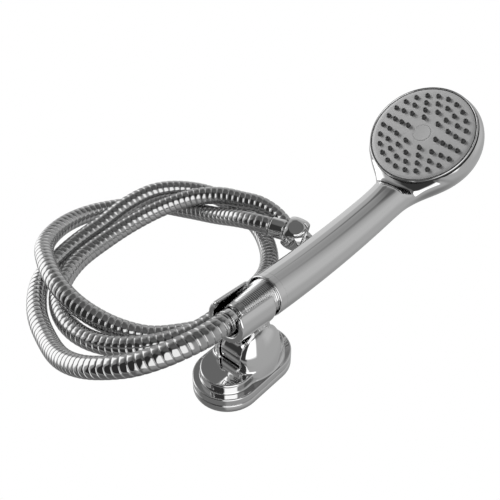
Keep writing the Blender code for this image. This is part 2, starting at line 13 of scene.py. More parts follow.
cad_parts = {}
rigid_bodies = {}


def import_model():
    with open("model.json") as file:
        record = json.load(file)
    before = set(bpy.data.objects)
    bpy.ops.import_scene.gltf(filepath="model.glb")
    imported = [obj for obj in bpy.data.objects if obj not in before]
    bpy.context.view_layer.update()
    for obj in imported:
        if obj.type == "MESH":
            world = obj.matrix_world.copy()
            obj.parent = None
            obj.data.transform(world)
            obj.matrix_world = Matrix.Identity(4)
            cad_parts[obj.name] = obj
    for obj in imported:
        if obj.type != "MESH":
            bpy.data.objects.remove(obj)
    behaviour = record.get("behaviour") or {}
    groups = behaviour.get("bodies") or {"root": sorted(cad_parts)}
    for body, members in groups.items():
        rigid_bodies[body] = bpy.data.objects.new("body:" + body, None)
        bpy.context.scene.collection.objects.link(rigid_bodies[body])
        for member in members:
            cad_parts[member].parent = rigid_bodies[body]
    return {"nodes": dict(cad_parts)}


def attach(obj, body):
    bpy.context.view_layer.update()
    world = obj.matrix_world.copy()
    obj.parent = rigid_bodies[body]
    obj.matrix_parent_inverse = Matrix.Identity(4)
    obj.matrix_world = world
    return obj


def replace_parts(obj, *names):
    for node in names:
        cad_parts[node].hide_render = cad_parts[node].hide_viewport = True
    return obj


MM = 0.001

# Holding axis, handset and spray face, as in the CAD
RIM = np.array((20.0, 0.0, 52.0))
HOLD_TILT = math.radians(5.0)
HANDSET_ROLL = math.radians(-3.2)
HEAD_UP = 51.8
HEAD_ALONG = 176.6
HEAD_TILT = math.radians(40.6)
HANDLE_CURVE = 765.0
HANDLE_RIM_RADIUS = 13.9
HANDLE_TAPER = 0.002
HANDLE_TURN = 140.0      # where the handle starts to turn up into the head
HANDLE_TURN_RISE = 2.65e-4
HEAD_RIM = 39.6
HEAD_BULGE = 42.2
HEAD_BULGE_RISE = 8.4    # from the widest place up to the rim
HEAD_SIDE = -10.0
HEAD_DOME = 21.0
HEAD_POWER = 2 / 0.42    # how squarely the side turns into the domed back
HEAD_FRONT = -2.3
SADDLE_REACH = 43.0      # the neck stays this far out of the spray axis above the saddle
SADDLE_LEVEL = -3.2
SADDLE_END = 31.0
NOZZLE_RINGS = ((6, 12.6, 20.6), (12, 18.9, 20.6), (18, 25.2, 40.8), (24, 31.5, 35.8))

# Bracket, clip and cone nut
PIVOT = np.array((5.0, 0.0, 23.5))
CHEEK_RADIUS = 17.5
CHEEK_INNER = 8.4
CHEEK_REACH = 12.1
OBLONG_END = 14.0        # centre of the plate's round ends
PLATE_RADIUS = 22.0
PLATEAU_RADIUS = 17.0
COVER_BOTTOM = 5.6
FLANGE_TOP = 11.0
PLATEAU_TOP = 18.0
POCKET_RADIUS = 16.7
POCKET_HALF = 8.8
BARREL_RADIUS = 16.2
BARREL_HALF = 8.1
CLIP_RADIUS = 14.2
CLIP_LOW, CLIP_HIGH = -35.0, -4.5
SLOT_HALF = 9.0
CONE_RADIUS = 11.5       # at the rim of the handle
CONE_SLOPE = 0.118
GROOVE_DEPTH = 0.42
GROOVE_PITCH = 1.35
WEB = [(15.0, 22.5), (19.6, 30.0), (18.2, 37.0), (17.8, 42.0), (17.2, 53.5), (-10.0, 53.5), (-7.5, 41.0),
       (-10.3, 28.5), (-5.0, 22.5)]

# Hose
HOSE_RADIUS = 7.0
HOSE_PITCH = 4.6
HOSE_SIDES = 28
HOSE_GROOVE = 0.95
TURN_POINTS = np.array((0.0, 0.03, 0.06, 0.11, 0.3, 0.5, 0.7, 0.89, 0.94, 0.97))
HOSE_END = np.array((104.5, 66.0, 25.5))
HOSE_END_AXIS = np.array((0.341, -0.937, -0.069))
NUT_AXIS = np.array((0.30, -0.93, -0.20))
NUT_SEAT = 17.8
NUT_FLAT = 12.0
HOSE_ROUTE = (
    (-14.2, 0, 55), (-28, 0, 56.2), (-43, 3.2, 56.2), (-57, 10.5, 53), (-69, 21, 48.5), (-78, 36, 42.5),
    (-82, 63, 29), (-72, 107, 11), (-58, 140, 7.3), (-36, 165, 7.3), (-10, 176, 7.3), (10, 179, 9),
    (34, 179, 12), (57, 177, 18), (83, 169, 22), (103, 154, 20), (115, 138, 16), (120, 117, 11),
    (117, 93, 8), (99, 63, 7.3), (77, 45, 11), (41, 32, 20), (18, 30, 22), (-11, 35, 19),
    (-28, 45, 17), (-41, 58, 15), (-50, 75, 12), (-54, 98, 9), (-49, 124, 7.3), (-36, 144, 7.3),
    (-10, 160, 7.3), (22, 164, 9), (51, 160, 14), (77, 150, 20), (97, 135, 25), (109, 119.5, 26.5),
    (116, 105, 25.5), (121.5, 92.5, 24.4), (124.6, 79.5, 20), (125, 66, 13), (127, 54, 8.5), (123, 41.5, 7.3),
    (108, 31, 7.3), (86, 25.5, 7.3), (60, 21.5, 7.3), (34, 26.2, 7.3), (11.5, 37.3, 7.3), (-7.5, 49, 7.3),
    (-23.5, 63, 8), (-34.5, 79.5, 12), (-41, 99, 16.3), (-43, 118, 20.3), (-40.5, 137, 23), (-32, 160.5, 23),
    (-17, 183.5, 19), (3, 195, 16), (33, 199.5, 11), (61, 190, 7.8), (82, 172, 7.3), (93, 147, 8.5),
    (98, 118, 14), (99.3, 89, 23.5), (101.6, 74, 25.9), (104.5, 66, 25.5),
)

# Surroundings
FLOOR_HALF = 3.0         # metres
FLOOR_LEVEL = -0.4
# Light of the walls at each elevation, in degrees
WALLS = ((-90, 0.10), (-65, 0.20), (-50, 0.33), (-35, 0.42), (-10, 0.43), (25, 0.45), (38, 0.42), (48, 0.31),
         (56, 0.19), (65, 0.13), (90, 0.16))
# Soft boxes and dark cards: azimuth from +Y towards +X, half width, elevation, half height, soft edge, light
CARDS = ((48, 12, -3, 23, 6, 0.66), (128, 26, 56, 10, 8, 0.12), (46, 17, 51, 12, 4, 0.15),
         (285, 50, -46, 18, 10, 0.16), (270, 38, 22, 44, 8, 0.04), (128, 24, 12, 18, 16, 0.54),
         (214, 27, 23, 36, 7, 1.4), (350, 24, 6, 29, 8, 1.6))


# ---------------------------------------------------------------- frames

class Frame:
    """A place and three axes in the row frame."""

    def __init__(self, origin, x_axis, z_axis):
        z = np.array(z_axis, float)
        z /= np.linalg.norm(z)
        y = np.cross(z, np.array(x_axis, float))
        y /= np.linalg.norm(y)
        self.origin = np.array(origin, float)
        self.turn = np.stack((np.cross(y, z), y, z), axis=1)

    def out(self, points):
        return np.asarray(points, float) @ self.turn.T + self.origin

    def into(self, points):
        return (np.asarray(points, float) - self.origin) @ self.turn

    def inner(self, origin, x_axis, z_axis):
        return Frame(self.out(origin), self.turn @ np.array(x_axis), self.turn @ np.array(z_axis))


ROW = Frame((0, 0, 0), (1, 0, 0), (0, 0, 1))
HOLD = Frame(RIM, (math.sin(HOLD_TILT), 0, math.cos(HOLD_TILT)),
             (math.cos(HOLD_TILT), 0, -math.sin(HOLD_TILT)))
HANDSET = HOLD.inner((0, 0, 0), (math.cos(HANDSET_ROLL), math.sin(HANDSET_ROLL), 0), (0, 0, 1))
SPRAY = HANDSET.inner((HEAD_UP, 0, HEAD_ALONG), (math.sin(HEAD_TILT), 0, math.cos(HEAD_TILT)),
                      (math.cos(HEAD_TILT), 0, -math.sin(HEAD_TILT)))
TAP_END = Frame(HOSE_END, (0, 0, 1), HOSE_END_AXIS)
NUT = Frame(HOSE_END + HOSE_END_AXIS / np.linalg.norm(HOSE_END_AXIS) * NUT_SEAT, (0, 0, 1), NUT_AXIS)


# ---------------------------------------------------------------- materials

def finished(name, colour, roughness, metallic=0.0, coat=0.0, grain=0.3, wear=0.2, bump=0.02, tint=0.0):
    """Shader with a fine grain.

    Grain is its size in millimetres, wear how far the roughness wanders as a share of itself,
    bump its depth in hundredths of a millimetre, and tint how far the colour wanders.
    """
    material = bpy.data.materials.new(name)
    material.use_nodes = True
    tree = material.node_tree
    shader = tree.nodes["Principled BSDF"]
    shader.inputs["Base Color"].default_value = (colour, colour, colour, 1)
    shader.inputs["Metallic"].default_value = metallic
    shader.inputs["Coat Weight"].default_value = coat
    place = tree.nodes.new("ShaderNodeTexCoord")

    def noise(size, detail):
        node = tree.nodes.new("ShaderNodeTexNoise")
        node.inputs["Scale"].default_value = 1 / (size * MM)
        node.inputs["Detail"].default_value = detail
        tree.links.new(place.outputs["Object"], node.inputs["Vector"])
        return node.outputs[0]

    def span(value, low, high, socket):
        node = tree.nodes.new("ShaderNodeMapRange")
        node.inputs["From Min"].default_value, node.inputs["From Max"].default_value = 0.3, 0.7
        node.inputs["To Min"].default_value, node.inputs["To Max"].default_value = low, high
        tree.links.new(value, node.inputs["Value"])
        tree.links.new(node.outputs[0], socket)

    smears = noise(SMEAR_SIZE, 3)
    span(smears, roughness * (1 - wear), roughness * (1 + wear), shader.inputs["Roughness"])
    if tint:
        span(smears, colour * (1 - tint), colour * (1 + tint), shader.inputs["Base Color"])
    if bump:
        node = tree.nodes.new("ShaderNodeBump")
        node.inputs["Distance"].default_value = bump * MM / 100
        tree.links.new(noise(grain, 2), node.inputs["Height"])
        tree.links.new(node.outputs[0], shader.inputs["Normal"])
    return material


SMEAR_SIZE = 9.0
CHROME = finished("chrome_bright", 0.82, 0.045, 1.0, grain=6, wear=0.3, bump=0.1)
# The hose's chrome is darker than the bright chrome: painted shade for the darker surroundings it mirrors
HOSE_CHROME_SHADED = finished("hose_chrome_painted_shade", 0.58, 0.06, 1.0, grain=2, wear=0.35, bump=0.2)
# Near-black band beside the trim ring: painted shade for the shadowed gap between ring and head
RING_SHADE = finished("painted_ring_shade", 0.035, 0.5, grain=0.2, bump=0.6)
FACE = finished("satin_face_grey", 0.35, 0.36, coat=0.3, grain=0.22, wear=0.12, bump=0.35, tint=0.015)
NOZZLE_RUBBER = finished("nozzle_rubber", 0.055, 0.45, grain=0.3, bump=1.2, tint=0.1)
# Near-black: painted shade for the recess under the trim ring
RECESS_SHADE = finished("painted_recess_shade", 0.02, 0.5, grain=0.3, bump=0.5)
WASHER = finished("washer_grey", 0.45, 0.5, grain=0.4, bump=1.5, tint=0.06)
STEEL = finished("plain_steel", 0.55, 0.25, 1.0, grain=0.15, wear=0.3, bump=0.8)
BRASS = finished("plain_brass", 0.5, 0.22, 1.0, grain=0.2, wear=0.3, bump=0.8)
BRASS.node_tree.nodes["Principled BSDF"].inputs["Base Color"].default_value = (0.62, 0.47, 0.22, 1)
PLASTIC = finished("inner_plastic", 0.30, 0.42, grain=0.25, bump=1.2, tint=0.04)
NYLON = finished("white_nylon", 0.70, 0.40, grain=0.3, bump=1.0, tint=0.03)
SLOT_FINISHES = {"chrome": CHROME, "satin_face": FACE, "steel": STEEL, "brass": BRASS, "rubber": WASHER,
                 "plastic": PLASTIC, "nylon": NYLON}


# ---------------------------------------------------------------- meshes

def add_mesh(name, points, faces, material, body, normals=None, sharp=40):
    """Mesh of row-frame points (millimetres) riding on a CAD body."""
    mesh = bpy.data.meshes.new(name)
    faces = faces if isinstance(faces, list) else faces.tolist()
    mesh.from_pydata((np.asarray(points) * MM).tolist(), [], faces)
    mesh.materials.append(material)
    mesh.shade_smooth()
    if normals is not None:
        mesh.normals_split_custom_set_from_vertices(np.asarray(normals).tolist())
    else:
        mesh.set_sharp_from_angle(angle=math.radians(sharp))
    obj = bpy.data.objects.new(name, mesh)
    bpy.context.scene.collection.objects.link(obj)
    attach(obj, body)
    return obj


def grid_faces(rows, columns, wrap_rows=False, wrap_columns=True):
    """Quads between the rows of a grid of points, each row going round when wrapped."""
    r = np.arange(rows if wrap_rows else rows - 1)
    c = np.arange(columns if wrap_columns else columns - 1)
    r, c = np.meshgrid(r, c, indexing="ij")
    r2, c2 = (r + 1) % rows, (c + 1) % columns
    return np.stack((r * columns + c, r * columns + c2, r2 * columns + c2, r2 * columns + c), -1).reshape(-1, 4)


def lathe(profile, frame, steps=96, scallop=None):
    """Points and faces of a closed (radius, height) loop turned about the frame's z axis."""
    loop = np.array(profile, float)
    turn = np.arange(steps) * 2 * math.pi / steps
    radius = np.repeat(loop[:, :1], steps, 1)
    height = np.repeat(loop[:, 1:], steps, 1)
    if scallop is not None:
        radius = scallop(radius, height, turn[None, :])
    points = np.stack((radius * np.cos(turn), radius * np.sin(turn), height), -1)
    return frame.out(points.reshape(-1, 3)), grid_faces(len(loop), steps, wrap_rows=True)


def add_lathe(name, profile, frame, material, body, steps=96, scallop=None, sharp=40):
    points, faces = lathe(profile, frame, steps, scallop)
    return add_mesh(name, points, faces, material, body, sharp=sharp)


def rounded(profile, radius=0.4, steps=3):
    """The same closed loop with each corner turned into a small arc."""
    loop = [np.array(p, float) for p in profile]
    made = []
    for before, here, after in zip(loop[-1:] + loop[:-1], loop, loop[1:] + loop[:1]):
        back, on = before - here, after - here
        cut = min(radius, np.linalg.norm(back) * 0.45, np.linalg.norm(on) * 0.45)
        start = here + back / np.linalg.norm(back) * cut
        end = here + on / np.linalg.norm(on) * cut
        for k in range(steps + 1):
            t = k / steps
            made.append((1 - t) ** 2 * start + 2 * t * (1 - t) * here + t * t * end)
    return made


# ---------------------------------------------------------------- smooth solids from distance fields

def smooth_min(a, b, k):
    h = np.maximum(k - np.abs(a - b), 0) / k
    return np.minimum(a, b) - h * h * k / 4


def smooth_max(a, b, k):
    return -smooth_min(-a, -b, k)


def gradient(field, points, step=0.02):
    made = np.empty_like(points)
    for axis in range(3):
        move = np.zeros(3)
        move[axis] = step
        made[:, axis] = (field(points + move) - field(points - move)) / (2 * step)
    return made


def skin(field, low, high, cell, rounds=5):
    """Fine mesh of the surface where the field is zero."""
    ticks = [np.arange(a, b + cell, cell) for a, b in zip(low, high)]
    shape = tuple(len(t) for t in ticks)
    inside = np.empty(shape, bool)
    for i, x in enumerate(ticks[0]):
        y, z = np.meshgrid(ticks[1], ticks[2], indexing="ij")
        flat = np.stack((np.full(y.size, x), y.ravel(), z.ravel()), -1)
        inside[i] = (field(flat) < 0).reshape(shape[1:])
    count = sum(inside[a:shape[0] - 1 + a, b:shape[1] - 1 + b, c:shape[2] - 1 + c].astype(np.int8)
                for a in (0, 1) for b in (0, 1) for c in (0, 1))
    mixed = (count > 0) & (count < 8)
    index = np.full(mixed.shape, -1)
    index[mixed] = np.arange(mixed.sum())
    points = np.argwhere(mixed) * cell + cell / 2 + np.array([t[0] for t in ticks])
    faces = []
    for axis in range(3):
        u, v = (axis + 1) % 3, (axis + 2) % 3
        n = shape[axis]
        near = inside.take(range(0, n - 1), axis)
        far = inside.take(range(1, n), axis)
        for change, order in ((near & ~far, 1), (~near & far, -1)):
            at = np.argwhere(change)
            at = at[(at[:, u] > 0) & (at[:, v] > 0) & (at[:, u] < shape[u] - 1) & (at[:, v] < shape[v] - 1)]
            corners = []
            for du, dv in ((-1, -1), (0, -1), (0, 0), (-1, 0)):
                cell_at = at.copy()
                cell_at[:, u] += du
                cell_at[:, v] += dv
                corners.append(index[tuple(cell_at.T)])
            faces.append(np.stack(corners, -1)[:, ::order])
    faces = np.concatenate(faces)
    for _ in range(rounds):
        slope = gradient(field, points)
        size = np.maximum((slope ** 2).sum(1), 0.05)
        move = slope * (field(points) / size)[:, None]
        length = np.linalg.norm(move, axis=1, keepdims=True)
        points = points - move * np.minimum(1, cell / np.maximum(length, 1e-9))
    return points, faces


def add_skin(name, field, frame, low, high, cell, material, body, cuts=()):
    """A smooth solid drawn in its own frame, with its field's normals.

    Each cut is a plane's point and outward normal, and which faces it may trim.
    """
    points, faces = skin(field, low, high, cell)
    bm = bmesh.new()
    corners = [bm.verts.new(p) for p in points.tolist()]
    for face in faces.tolist():
        bm.faces.new([corners[k] for k in face])
    for point, normal, reaches in cuts:
        middles = np.array([face.calc_center_median() for face in bm.faces])
        chosen = [face for face, near in zip(bm.faces, reaches(middles)) if near]
        edges = {edge for face in chosen for edge in face.edges}
        verts = {vert for face in chosen for vert in face.verts}
        bmesh.ops.bisect_plane(bm, geom=chosen + list(edges) + list(verts), dist=0.0001,
                               plane_co=point, plane_no=normal, clear_outer=True)
    bmesh.ops.delete(bm, geom=[v for v in bm.verts if not v.link_faces], context="VERTS")
    bm.verts.index_update()
    points = np.array([vert.co for vert in bm.verts])
    faces = [[vert.index for vert in face.verts] for face in bm.faces]
    bm.free()
    slope = gradient(field, points)
    normals = slope / np.linalg.norm(slope, axis=1, keepdims=True)
    return add_mesh(name, frame.out(points), faces, material, body, normals @ frame.turn.T)


# ---------------------------------------------------------------- handset

def handle_rise(s):
    """How far the handle's middle line has bent at s along it, and its slope there."""
    over = np.maximum(s - HANDLE_TURN, 0)
    return (s * s / (2 * HANDLE_CURVE) + HANDLE_TURN_RISE * over ** 3,
            s / HANDLE_CURVE + 3 * HANDLE_TURN_RISE * over ** 2)


def handle_field(points):
    """Distance from the tapering, gently bent handle, which turns up into the head at its far end."""
    x, y, z = points.T
    s = z.copy()
    for _ in range(3):
        rise, slope = handle_rise(s)
        s = np.clip(s + ((x - rise) * slope + (z - s)) / (1 + slope * slope), -20, 176)
    rise, _ = handle_rise(s)
    flare = np.clip((s - 141) / 33, 0, 1)
    flare = flare * flare * (3 - 2 * flare)
    wide = 1 + 0.46 * flare
    return (np.sqrt((x - rise) ** 2 + (z - s) ** 2 + (y / wide) ** 2)
            - (HANDLE_RIM_RADIUS - HANDLE_TAPER * s - 0.8 * flare))


def spray_place(points):
    """Handset frame to spray frame."""
    shifted = points - np.array((HEAD_UP, 0, HEAD_ALONG))
    c, s = math.cos(HEAD_TILT), math.sin(HEAD_TILT)
    turn = np.array(((s, 0, c), (0, 1, 0), (c, 0, -s)))
    return shifted @ turn.T


def head_field(places):
    """Distance from the head's bulging side and domed back, in the spray frame."""
    r = np.hypot(places[:, 0], places[:, 1])
    below = np.maximum(HEAD_SIDE - places[:, 2], 0)
    above = np.clip(places[:, 2] - HEAD_SIDE, 0, 12)
    widest = HEAD_BULGE - (HEAD_BULGE - HEAD_RIM) * (above / HEAD_BULGE_RISE) ** 2
    g = (r / widest) ** HEAD_POWER + (below / HEAD_DOME) ** 2 - 1
    steep = np.hypot(HEAD_POWER / widest * (r / widest) ** (HEAD_POWER - 1), 2 * below / HEAD_DOME ** 2)
    return g / np.maximum(steep, 0.05)


def handset_field(points):
    """Handle and head in one, with a low saddle between the ring and the neck."""
    places = spray_place(points)
    handle = handle_field(points)
    r = np.hypot(places[:, 0], places[:, 1])
    clear = smooth_max(r - 46, -5.0 - places[:, 2], 6)
    handle = smooth_max(handle, -clear, 7)
    solid = smooth_min(handle, head_field(places), 14)
    saddle = smooth_max(smooth_max(r - SADDLE_REACH, SADDLE_LEVEL - places[:, 2], 3),
                        places[:, 0] + SADDLE_END, 2)
    return smooth_max(solid, -saddle, 8)


def build_handset():
    normal = Vector((math.cos(HEAD_TILT), 0, -math.sin(HEAD_TILT)))
    front = Vector((HEAD_UP, 0, HEAD_ALONG)) + normal * HEAD_FRONT

    def on_head(middles):
        places = spray_place(middles)
        return np.hypot(places[:, 0], places[:, 1]) < 42

    body = add_skin("handset_shell", handset_field, HANDSET, (-18, -45, 2), (93, 45, 227), 0.8, CHROME,
                    "handset",
                    cuts=((Vector((0, 0, 6)), Vector((0, 0, -1)), lambda m: m[:, 2] < 12),
                          (front, normal, on_head)))
    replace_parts(body, "handset_body")
    rim = [(13.87, 6.0), (13.88, 2.0), (13.87, 1.0), (13.80, 0.55), (13.6, 0.22), (13.3, 0.1), (13.0, 0.22),
           (12.85, 0.6), (12.8, 1.2), (12.8, 14.0), (11.0, 14.0), (11.0, 15.0), (13.2, 15.0), (13.4, 6.0)]
    add_lathe("handle_rim", rim, HANDSET, CHROME, "handset", 144, sharp=50)


def build_spray_face():
    plate = [(37.75, 0.15), (37.75, -0.4), (6.6, -0.4), (6.6, 0.95), (6.66, 1.03), (6.85, 1.11), (7.6, 1.12),
             (20.0, 1.12), (30.0, 1.08), (34.6, 1.02), (35.4, 0.98), (36.2, 0.82), (37.2, 0.45)]
    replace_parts(add_lathe("spray_plate", plate[::-1], SPRAY, FACE, "handset", 192, sharp=60),
                "face_plate")
    cap = [(0.01, 1.16), (5.6, 1.16), (5.95, 1.22), (6.2, 1.24), (6.42, 1.16), (6.5, 0.95), (6.5, 0.4),
           (0.01, 0.4)]
    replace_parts(add_lathe("spray_cap", cap, SPRAY, FACE, "handset", 128, sharp=60), "centre_cap")
    ring = [(39.6, -0.1), (39.54, 0.35), (39.3, 0.68), (39.0, 0.78), (38.7, 0.68), (38.45, 0.35), (38.35, -0.1),
            (38.35, -1.2), (37.0, -1.2), (37.0, -1.5), (39.1, -1.5), (39.1, -0.1)]
    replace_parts(add_lathe("spray_ring", ring[::-1], SPRAY, CHROME, "handset", 256, sharp=50),
                "trim_ring")
    # Near-black band just below the ring's outer edge: painted shade standing in for the gap's shadow
    band = [(39.45, -0.1), (39.5, -0.25), (39.5, -2.5), (39.1, -2.5), (39.1, -0.1)]
    add_lathe("ring_shade_band", band[::-1], SPRAY, RING_SHADE, "handset", 192)
    # Near-black ring in the recess under the trim ring: painted shade
    add_lathe("ring_recess_shade", [(38.4, -0.5), (37.0, -0.5), (37.0, -0.9), (38.4, -0.9)], SPRAY, RECESS_SHADE, "handset",
              128)
    nozzle = [(1.95, 1.05), (1.75, 1.2), (1.62, 1.6), (1.50, 2.4), (1.42, 3.0), (1.30, 3.22), (1.08, 3.32),
              (0.68, 3.32), (0.58, 3.22), (0.53, 2.2), (0.01, 2.2), (0.01, 0.6), (1.95, 0.6)]
    points, faces = lathe(nozzle[::-1], ROW, 20)
    every_point, every_face = [], []
    for (count, radius, first), taller in zip(NOZZLE_RINGS, (1.35, 1.25, 1.12, 1.0)):
        for k in range(count):
            turn = math.radians(first) + 2 * math.pi * k / count
            every_face.append(faces + len(points) * len(every_point))
            raised = np.where(points[:, 2:] > 1.1, (points[:, 2:] - 1.1) * taller + 1.1, points[:, 2:])
            every_point.append(np.hstack((points[:, :2], raised))
                               + np.array((radius * math.cos(turn), radius * math.sin(turn), 0)))
    mat = add_mesh("nozzles", SPRAY.out(np.concatenate(every_point)), np.concatenate(every_face),
                   NOZZLE_RUBBER, "handset", sharp=55)
    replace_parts(mat, "nozzle_mat")


# ---------------------------------------------------------------- bracket, clip and cone nut

def oblong(x, y, radius):
    """Distance from the outline of two round ends joined by straight sides."""
    return np.hypot(np.maximum(np.abs(x) - OBLONG_END, 0), y) - radius


def slab(flat, z, low, high, k):
    """A flat outline made solid between two heights, with edges rounded by k."""
    return smooth_max(flat, np.maximum(low - z, z - high), k)


def cheek_field(x, y, z):
    """Both round cheeks, which swell outwards and spread towards the flange."""
    up = np.maximum(z - PIVOT[2], 0) / CHEEK_RADIUS
    down = np.maximum(PIVOT[2] - z, 0) / CHEEK_RADIUS
    half = CHEEK_RADIUS + 4.5 * down ** 2
    reach = CHEEK_REACH * np.sqrt(np.clip(1 - ((z - FLANGE_TOP) / 30) ** 2, 0.02, 1))
    out = np.maximum(np.abs(y) - CHEEK_INNER, 0) / reach
    g = ((x - PIVOT[0]) / half) ** 2 + up ** 2 + np.maximum(1 - up ** 2, 0) * out ** 2
    round_side = (np.sqrt(g) - 1) * 14
    return smooth_max(round_side, CHEEK_INNER - np.abs(y), 0.9)


def cover_field(points):
    x, y, z = points.T
    flange = slab(oblong(x, y, PLATE_RADIUS), z, COVER_BOTTOM, FLANGE_TOP, 0.9)
    plateau = slab(oblong(x, y, PLATEAU_RADIUS), z, COVER_BOTTOM, PLATEAU_TOP, 1.1)
    solid = smooth_min(smooth_min(flange, plateau, 1.0), cheek_field(x, y, z), 1.6)
    pocket = np.maximum(np.hypot(x - PIVOT[0], z - PIVOT[2]) - POCKET_RADIUS, np.abs(y) - POCKET_HALF)
    return smooth_max(solid, -pocket, 0.7)


def outline_distance(x, z, outline):
    """Signed distance from a closed outline in the x-z plane."""
    best = np.full(x.shape, 1e9)
    inside = np.zeros(x.shape, bool)
    for (ax, az), (bx, bz) in zip(outline, outline[1:] + outline[:1]):
        ex, ez = bx - ax, bz - az
        t = np.clip(((x - ax) * ex + (z - az) * ez) / (ex * ex + ez * ez), 0, 1)
        best = np.minimum(best, np.hypot(x - ax - ex * t, z - az - ez * t))
        crosses = (az > z) != (bz > z)
        inside ^= crosses & (x < ax + (z - az) * ex / (ez if ez else 1e-9))
    return np.where(inside, -best, best)


def cradle_field(points):
    """Pivot barrel, web and the open clip with its tapering bore and its slot."""
    x, y, z = points.T
    barrel = smooth_max(np.hypot(x - PIVOT[0], z - PIVOT[2]) - BARREL_RADIUS, np.abs(y) - BARREL_HALF, 0.8)
    web = smooth_max(outline_distance(x, z, WEB), np.abs(y) - 7, 2.5)
    held = HOLD.into(points)
    r = np.hypot(held[:, 0], held[:, 1])
    clip = smooth_max(r - CLIP_RADIUS, np.maximum(CLIP_LOW - held[:, 2], held[:, 2] - CLIP_HIGH), 2.0)
    solid = smooth_min(smooth_min(barrel, web, 2.0), clip, 6.0)
    bore = r - (9.7 + 0.065 * (held[:, 2] + 36))
    slot = np.maximum(np.abs(held[:, 1]) - SLOT_HALF, -held[:, 0])
    return smooth_max(smooth_max(solid, -bore, 1.0), -slot, 2.6)


def oblong_rings(radius_profile, steps=48):
    """Rings of an oblong with round ends, one for every (radius, height)."""
    rings = []
    for radius, height in radius_profile:
        ring = []
        for end, start in ((OBLONG_END, -math.pi / 2), (-OBLONG_END, math.pi / 2)):
            for k in range(steps + 1):
                turn = start + math.pi * k / steps
                ring.append((end + radius * math.cos(turn), radius * math.sin(turn), height))
        rings.append(ring)
    return np.array(rings)


def build_bracket():
    cover = add_skin("bracket_shell", cover_field, ROW, (-37, -23, 4.6), (37, 23, 42), 0.5, CHROME,
                     "bracket")
    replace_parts(cover, "bracket_cover")
    rings = oblong_rings([(8, 0), (21.4, 0), (21.85, 0.2), (22, 0.6), (22, 4.8), (21.85, 5.15), (21.4, 5.3),
                          (8, 5.3)])
    faces = grid_faces(len(rings), rings.shape[1], wrap_rows=True)
    plate = add_mesh("back_plate", rings.reshape(-1, 3), faces, CHROME, "bracket", sharp=50)
    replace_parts(plate, "wall_plate")
    cradle = add_skin("cradle_shell", cradle_field, ROW, (-19, -16, 6), (23, 16, 70), 0.45, CHROME,
                      "cradle")
    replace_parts(cradle, "cradle")


def build_cone_nut():
    outside = []
    for k in range(322):
        along = 7.0 - 0.1 * k
        groove = 0.0
        if -23.6 < along < 6.0:
            groove = GROOVE_DEPTH * (0.5 - 0.5 * math.cos(2 * math.pi * along / GROOVE_PITCH)) ** 2
        outside.append((CONE_RADIUS + CONE_SLOPE * along - groove, along))
    outside += [(8.5, -25.6), (8.35, -27.4), (8.1, -27.8), (7.7, -28.0)]
    inside = [(6.4, -28.0), (6.2, -27.6), (6.2, -5.5), (9.6, -5.5), (9.6, -2.0), (10.6, -2.0), (10.6, 6.9)]
    nut = add_lathe("grip_cone", [(12.0, 7.1)] + outside + inside, HOLD, CHROME, "handset", 128,
                    sharp=180)
    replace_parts(nut, "cone_nut")


# ---------------------------------------------------------------- hose and tap end

def smooth_route(points, spacing):
    """Evenly spaced points on a smooth curve through the given points."""
    knots = np.array(points, float)
    spans = np.linalg.norm(np.diff(knots, axis=0), axis=1)
    steps = np.diff(knots, axis=0) / spans[:, None]
    slopes = np.empty_like(knots)
    slopes[0], slopes[-1] = steps[0], steps[-1]
    before, after = spans[:-1, None], spans[1:, None]
    slopes[1:-1] = (steps[:-1] * after + steps[1:] * before) / (before + after)
    slopes /= np.linalg.norm(slopes, axis=1, keepdims=True)
    dense = [knots[:1]]
    t = np.linspace(0, 1, 26)[1:, None]
    for a, b, m, n, span in zip(knots[:-1], knots[1:], slopes[:-1], slopes[1:], spans):
        p, q = a + m * span / 3, b - n * span / 3
        dense.append((1 - t) ** 3 * a + 3 * (1 - t) ** 2 * t * p + 3 * (1 - t) * t * t * q + t ** 3 * b)
    dense = np.concatenate(dense)
    for _ in range(12):
        dense[1:-1] = dense[1:-1] * 0.5 + (dense[:-2] + dense[2:]) * 0.25
    lengths = np.concatenate(([0], np.cumsum(np.linalg.norm(np.diff(dense, axis=0), axis=1))))
    even = np.linspace(0, lengths[-1], int(round(lengths[-1] / spacing)) + 1)
    return np.stack([np.interp(even, lengths, dense[:, k]) for k in range(3)], -1)


def hose_profile(phase):
    """Outside radius along one turn of the spiral strip: a broad, slightly crowned band and a thin groove."""
    side = np.abs(2 * phase - 1)
    return HOSE_RADIUS - HOSE_GROOVE + 0.85 * np.sqrt(1 - side ** 11) + 0.1 * (1 - side ** 2)


